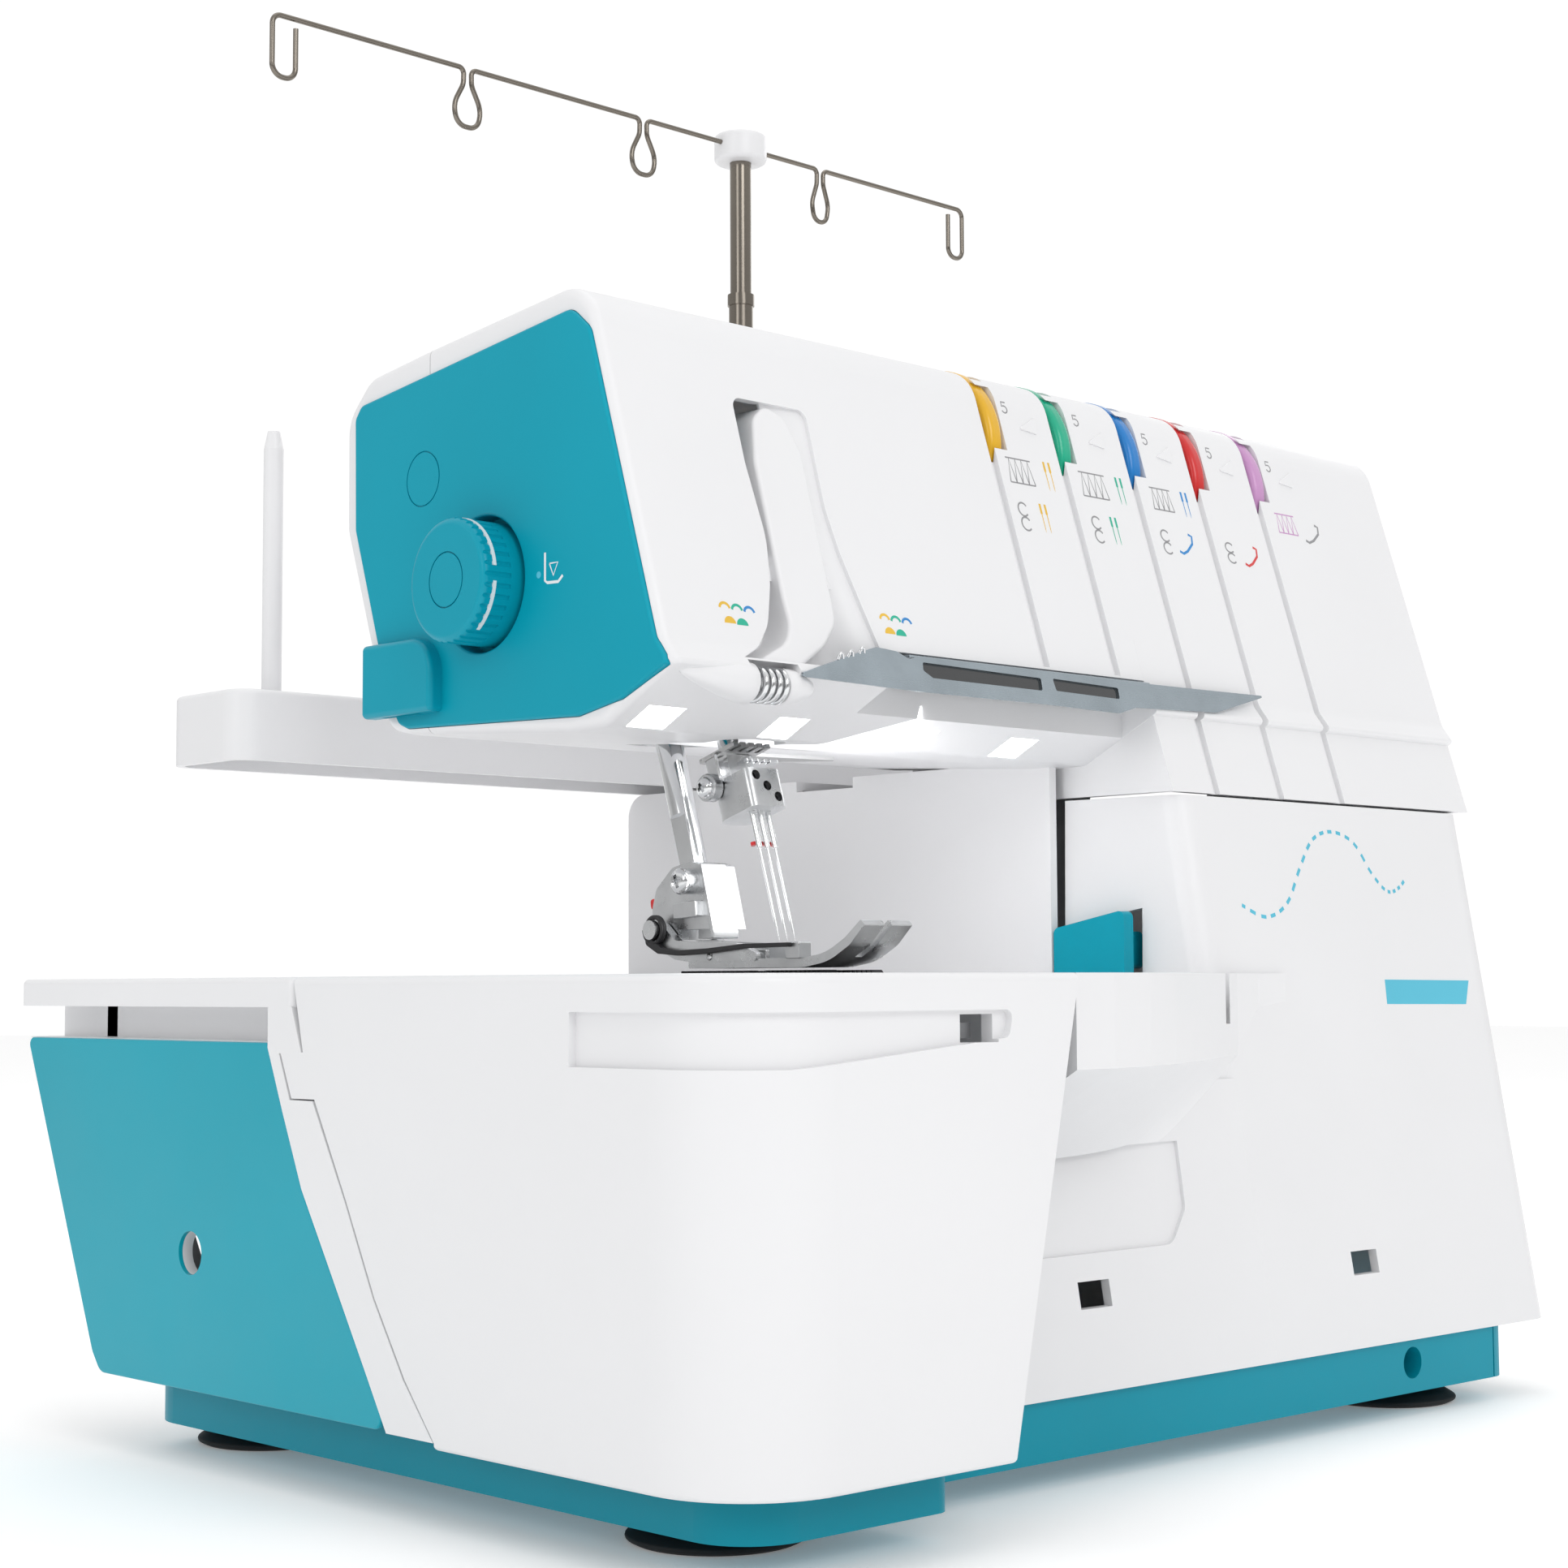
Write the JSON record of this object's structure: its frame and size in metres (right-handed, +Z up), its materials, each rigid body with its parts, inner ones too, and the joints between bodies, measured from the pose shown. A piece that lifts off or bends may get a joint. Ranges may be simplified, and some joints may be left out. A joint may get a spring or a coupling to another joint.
{
  "type": "overlock sewing machine",
  "caption": "Overlock sewing machine with coloured tension dials, fold-down looper cover, teal side covers, spool tray and telescopic thread guide.",
  "frame": {"origin": "centre of the footprint box, on the surface that the feet stand on", "axes": "+X to the operator's right, +Y away from the operator, +Z up"},
  "size_m": [0.3956, 0.317, 0.43],
  "materials": {
    "white_plastic": "satin moulded",
    "teal_plastic": "satin moulded",
    "clear_white_plastic": "satin moulded",
    "black_rubber": "matte",
    "black_plastic": "matte",
    "cast_frame": "as cast",
    "polished_steel": "polished",
    "brushed_steel": "brushed",
    "bronze": "machined",
    "lens": "diffusing",
    "dial_yellow": "gloss",
    "dial_green": "gloss",
    "dial_blue": "gloss",
    "dial_red": "gloss",
    "dial_pink": "gloss"
  },
  "bodies": {
    "root": {"base_pan": "teal_plastic", "rubber_feet": "black_rubber", "main_frame": "cast_frame", "lower_front_cover": "white_plastic", "rear_cover": "white_plastic", "upper_front_cover": "white_plastic", "top_rear_cover": "white_plastic", "face_plate": "teal_plastic", "bed_cover": "white_plastic", "stitch_plate": "brushed_steel", "lower_knife": "brushed_steel", "led_lenses": "lens", "thread_guide_plate": "polished_steel", "takeup_cover": "white_plastic", "coil_thread_guide": "polished_steel", "thread_cutter": "teal_plastic", "spool_stand": "white_plastic", "spool_pins": "white_plastic", "mast_lower_tube": "polished_steel", "tension_units": "brushed_steel", "motor_body": "black_plastic", "shaft_bushings": "bronze", "power_inlet": "black_plastic", "drive_belt": "black_rubber"},
    "main_shaft": {"main_shaft": "brushed_steel", "drive_pulley": "cast_frame", "handwheel": "white_plastic"},
    "motor_rotor": {"motor_rotor": "brushed_steel"},
    "needle_bar": {"needle_bar": "polished_steel", "needle_clamp": "polished_steel", "needle_set_screws": "brushed_steel", "needles": "polished_steel", "needle_thread_guide": "brushed_steel"},
    "take_up_lever": {"take_up_lever": "polished_steel"},
    "upper_looper": {"upper_looper": "polished_steel"},
    "lower_looper": {"lower_looper": "polished_steel"},
    "feed_dog_front": {"feed_dog_front": "brushed_steel"},
    "feed_dog_rear": {"feed_dog_rear": "brushed_steel"},
    "upper_knife": {"upper_knife": "brushed_steel"},
    "presser_bar": {"presser_bar": "polished_steel", "presser_foot_holder": "cast_frame"},
    "presser_foot": {"presser_foot": "polished_steel"},
    "presser_lifter": {"presser_lifter": "white_plastic"},
    "pressure_knob": {"pressure_knob": "teal_plastic"},
    "differential_dial": {"differential_dial": "white_plastic"},
    "stitch_length_dial": {"stitch_length_dial": "white_plastic"},
    "power_switch": {"power_switch": "black_plastic"},
    "mast_upper": {"mast_upper_tube": "polished_steel"},
    "thread_guide": {"mast_cap": "white_plastic", "thread_guide_wire": "polished_steel"},
    "cover_carrier": {"cover_hinge_rod": "brushed_steel"},
    "looper_cover": {"looper_cover": "white_plastic"},
    "left_cover": {"left_cover": "white_plastic", "left_cover_panel": "teal_plastic"},
    "threader_key": {"threader_key": "teal_plastic"},
    "tension_dial_yellow": {"tension_dial_yellow": "dial_yellow"},
    "tension_dial_green": {"tension_dial_green": "dial_green"},
    "tension_dial_blue": {"tension_dial_blue": "dial_blue"},
    "tension_dial_red": {"tension_dial_red": "dial_red"},
    "tension_dial_pink": {"tension_dial_pink": "dial_pink"}
  },
  "joints": [
    {"name": "handwheel_turn", "type": "hinge", "parent": "root", "child": "main_shaft", "pos_m": [0.10584, 0.0235, 0.08], "axis": [1, 0, 0], "continuous": true},
    {"name": "motor_spin", "type": "hinge", "parent": "root", "child": "motor_rotor", "pos_m": [0.14584, 0.0735, 0.055], "axis": [1, 0, 0], "continuous": true},
    {"name": "needle_bar_stroke", "type": "slide", "parent": "root", "child": "needle_bar", "axis": [0, 0.2917, 0.9565], "range_m": [-0.021, 0.0015]},
    {"name": "take_up_swing", "type": "hinge", "parent": "root", "child": "take_up_lever", "pos_m": [-0.11116, -0.0315, 0.266], "axis": [1, 0, 0], "range_deg": [-12.6, 2.2]},
    {"name": "upper_looper_swing", "type": "hinge", "parent": "root", "child": "upper_looper", "pos_m": [-0.06216, -0.0615, 0.072], "axis": [0, 1, 0], "range_deg": [-17.2, 2.8]},
    {"name": "lower_looper_swing", "type": "hinge", "parent": "root", "child": "lower_looper", "pos_m": [-0.13216, -0.0855, 0.062], "axis": [0, 1, 0], "range_deg": [-2.8, 17.2]},
    {"name": "feed_front_travel", "type": "slide", "parent": "root", "child": "feed_dog_front", "axis": [0, 1, 0], "range_m": [-0.0016, 0.0004]},
    {"name": "feed_rear_travel", "type": "slide", "parent": "root", "child": "feed_dog_rear", "axis": [0, 1, 0], "range_m": [-0.0022, 0.0005]},
    {"name": "upper_knife_stroke", "type": "slide", "parent": "root", "child": "upper_knife", "axis": [0, 0, 1], "range_m": [-0.0044, 0.0008]},
    {"name": "presser_lifter_turn", "type": "hinge", "parent": "root", "child": "presser_lifter", "pos_m": [-0.07216, 0.0535, 0.226], "axis": [0, 1, 0], "range_deg": [0, 50.2]},
    {"name": "presser_bar_lift", "type": "slide", "parent": "root", "child": "presser_bar", "axis": [0, 0.2917, 0.9565], "range_m": [0, 0.00698]},
    {"name": "presser_foot_tilt", "type": "hinge", "parent": "presser_bar", "child": "presser_foot", "pos_m": [-0.09916, -0.0275, 0.1415], "axis": [1, 0, 0], "range_deg": [-8, 0]},
    {"name": "pressure_knob_turn", "type": "hinge", "parent": "root", "child": "pressure_knob", "pos_m": [-0.16416, -0.0139, 0.2314], "axis": [1, 0, 0], "range_deg": [-150, 150]},
    {"name": "tension_yellow_turn", "type": "hinge", "parent": "root", "child": "tension_dial_yellow", "pos_m": [-0.01096, -0.0385, 0.281], "axis": [1, 0, 0], "range_deg": [-130, 130]},
    {"name": "tension_green_turn", "type": "hinge", "parent": "root", "child": "tension_dial_green", "pos_m": [0.01964, -0.0385, 0.281], "axis": [1, 0, 0], "range_deg": [-130, 130]},
    {"name": "tension_blue_turn", "type": "hinge", "parent": "root", "child": "tension_dial_blue", "pos_m": [0.05174, -0.0385, 0.281], "axis": [1, 0, 0], "range_deg": [-130, 130]},
    {"name": "tension_red_turn", "type": "hinge", "parent": "root", "child": "tension_dial_red", "pos_m": [0.08284, -0.0385, 0.281], "axis": [1, 0, 0], "range_deg": [-130, 130]},
    {"name": "tension_pink_turn", "type": "hinge", "parent": "root", "child": "tension_dial_pink", "pos_m": [0.11374, -0.0385, 0.281], "axis": [1, 0, 0], "range_deg": [-130, 130]},
    {"name": "differential_turn", "type": "hinge", "parent": "root", "child": "differential_dial", "pos_m": [0.18084, -0.0535, 0.106], "axis": [1, 0, 0], "range_deg": [-140, 140]},
    {"name": "stitch_length_turn", "type": "hinge", "parent": "root", "child": "stitch_length_dial", "pos_m": [0.18084, -0.0595, 0.07], "axis": [1, 0, 0], "range_deg": [-140, 140]},
    {"name": "power_switch_rock", "type": "hinge", "parent": "root", "child": "power_switch", "pos_m": [0.17584, -0.0335, 0.045], "axis": [0, 1, 0], "range_deg": [-6, 6]},
    {"name": "mast_slide", "type": "slide", "parent": "root", "child": "mast_upper", "axis": [0, 0, 1], "range_m": [-0.047, 0]},
    {"name": "guide_turn", "type": "hinge", "parent": "mast_upper", "child": "thread_guide", "pos_m": [0.05634, 0.1195, 0.422], "axis": [0, 0, 1], "range_deg": [-90, 90]},
    {"name": "cover_slide", "type": "slide", "parent": "root", "child": "cover_carrier", "axis": [-1, 0, 0], "range_m": [0, 0.008]},
    {"name": "cover_hinge", "type": "hinge", "parent": "cover_carrier", "child": "looper_cover", "pos_m": [-0.14416, -0.151, 0.0265], "axis": [1, 0, 0], "range_deg": [0, 70]},
    {"name": "left_cover_swing", "type": "hinge", "parent": "root", "child": "left_cover", "pos_m": [-0.15016, 0.1545, 0.12], "axis": [0, 0, -1], "range_deg": [0, 70]},
    {"name": "threader_key_press", "type": "slide", "parent": "root", "child": "threader_key", "axis": [1, 0, 0], "range_m": [0, 0.003], "stiffness_N_per_m": 300}
  ],
  "couplings": [
    {"joint": "motor_spin", "follows": "handwheel_turn", "ratio": 3},
    {"joint": "take_up_swing", "follows": "needle_bar_stroke", "rad_per_m": 10},
    {"joint": "upper_looper_swing", "follows": "needle_bar_stroke", "rad_per_m": 14},
    {"joint": "lower_looper_swing", "follows": "needle_bar_stroke", "rad_per_m": -14},
    {"joint": "feed_front_travel", "follows": "needle_bar_stroke", "ratio": 0.07},
    {"joint": "feed_rear_travel", "follows": "needle_bar_stroke", "ratio": 0.1},
    {"joint": "upper_knife_stroke", "follows": "needle_bar_stroke", "ratio": 0.2},
    {"joint": "presser_lifter_turn", "follows": "presser_bar_lift", "rad_per_m": 125}
  ]
}
